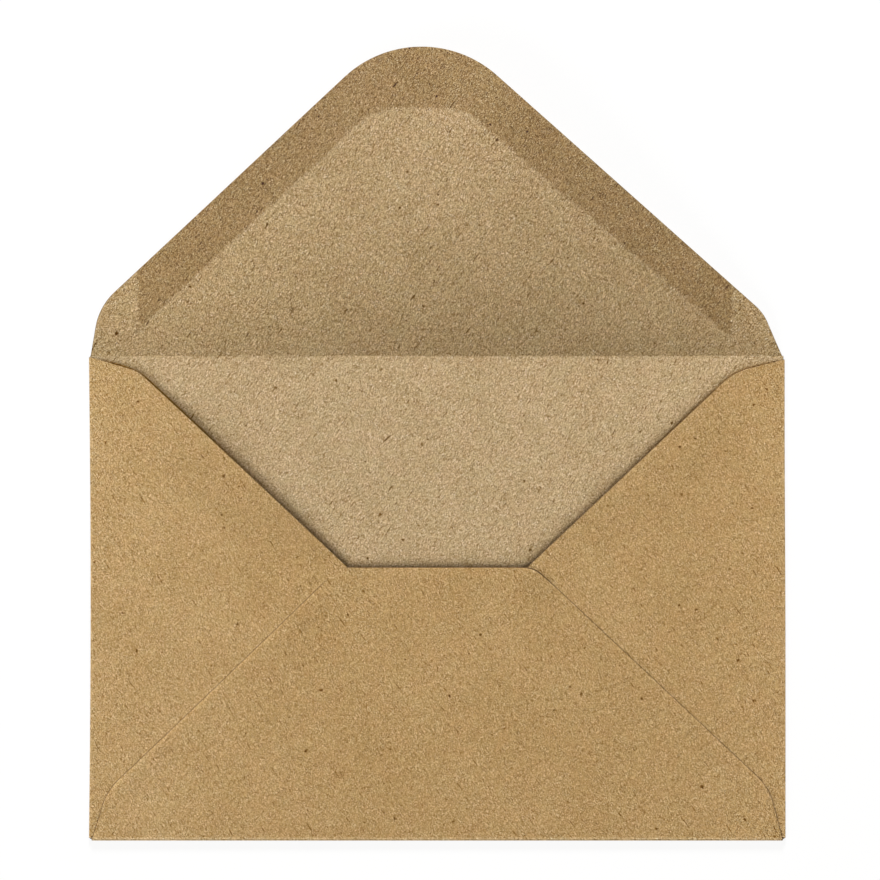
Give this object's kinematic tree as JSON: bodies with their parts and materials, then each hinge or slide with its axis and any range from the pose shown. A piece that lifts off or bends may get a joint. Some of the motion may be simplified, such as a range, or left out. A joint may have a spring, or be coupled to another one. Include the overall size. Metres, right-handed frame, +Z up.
{
  "type": "paper envelope",
  "caption": "Empty gummed envelope of recycled kraft paper, lying back side up with its pointed flap open; holds a folded letter or a card.",
  "frame": {"origin": "centre of the folded body, on the outside of the front panel, which is the face that the envelope lies on", "axes": "+X to the right across the envelope, seen from the back with the flap at the top; +Y from the centre towards the open flap; +Z up, out of the back"},
  "size_m": [0.162, 0.1845, 0.0096],
  "materials": {
    "kraft_paper": "uncoated recycled kraft paper with short dark fibres, matt",
    "dried_gum": "thin dried gum soaked into the paper, darker and faintly satin",
    "seam_glue": "dried paper glue, clear amber, hidden between two layers of paper"
  },
  "bodies": {
    "root": {"envelope_sheet": "kraft_paper", "flap_gum": "dried_gum", "left_seam_glue": "seam_glue", "right_seam_glue": "seam_glue"}
  },
  "joints": []
}
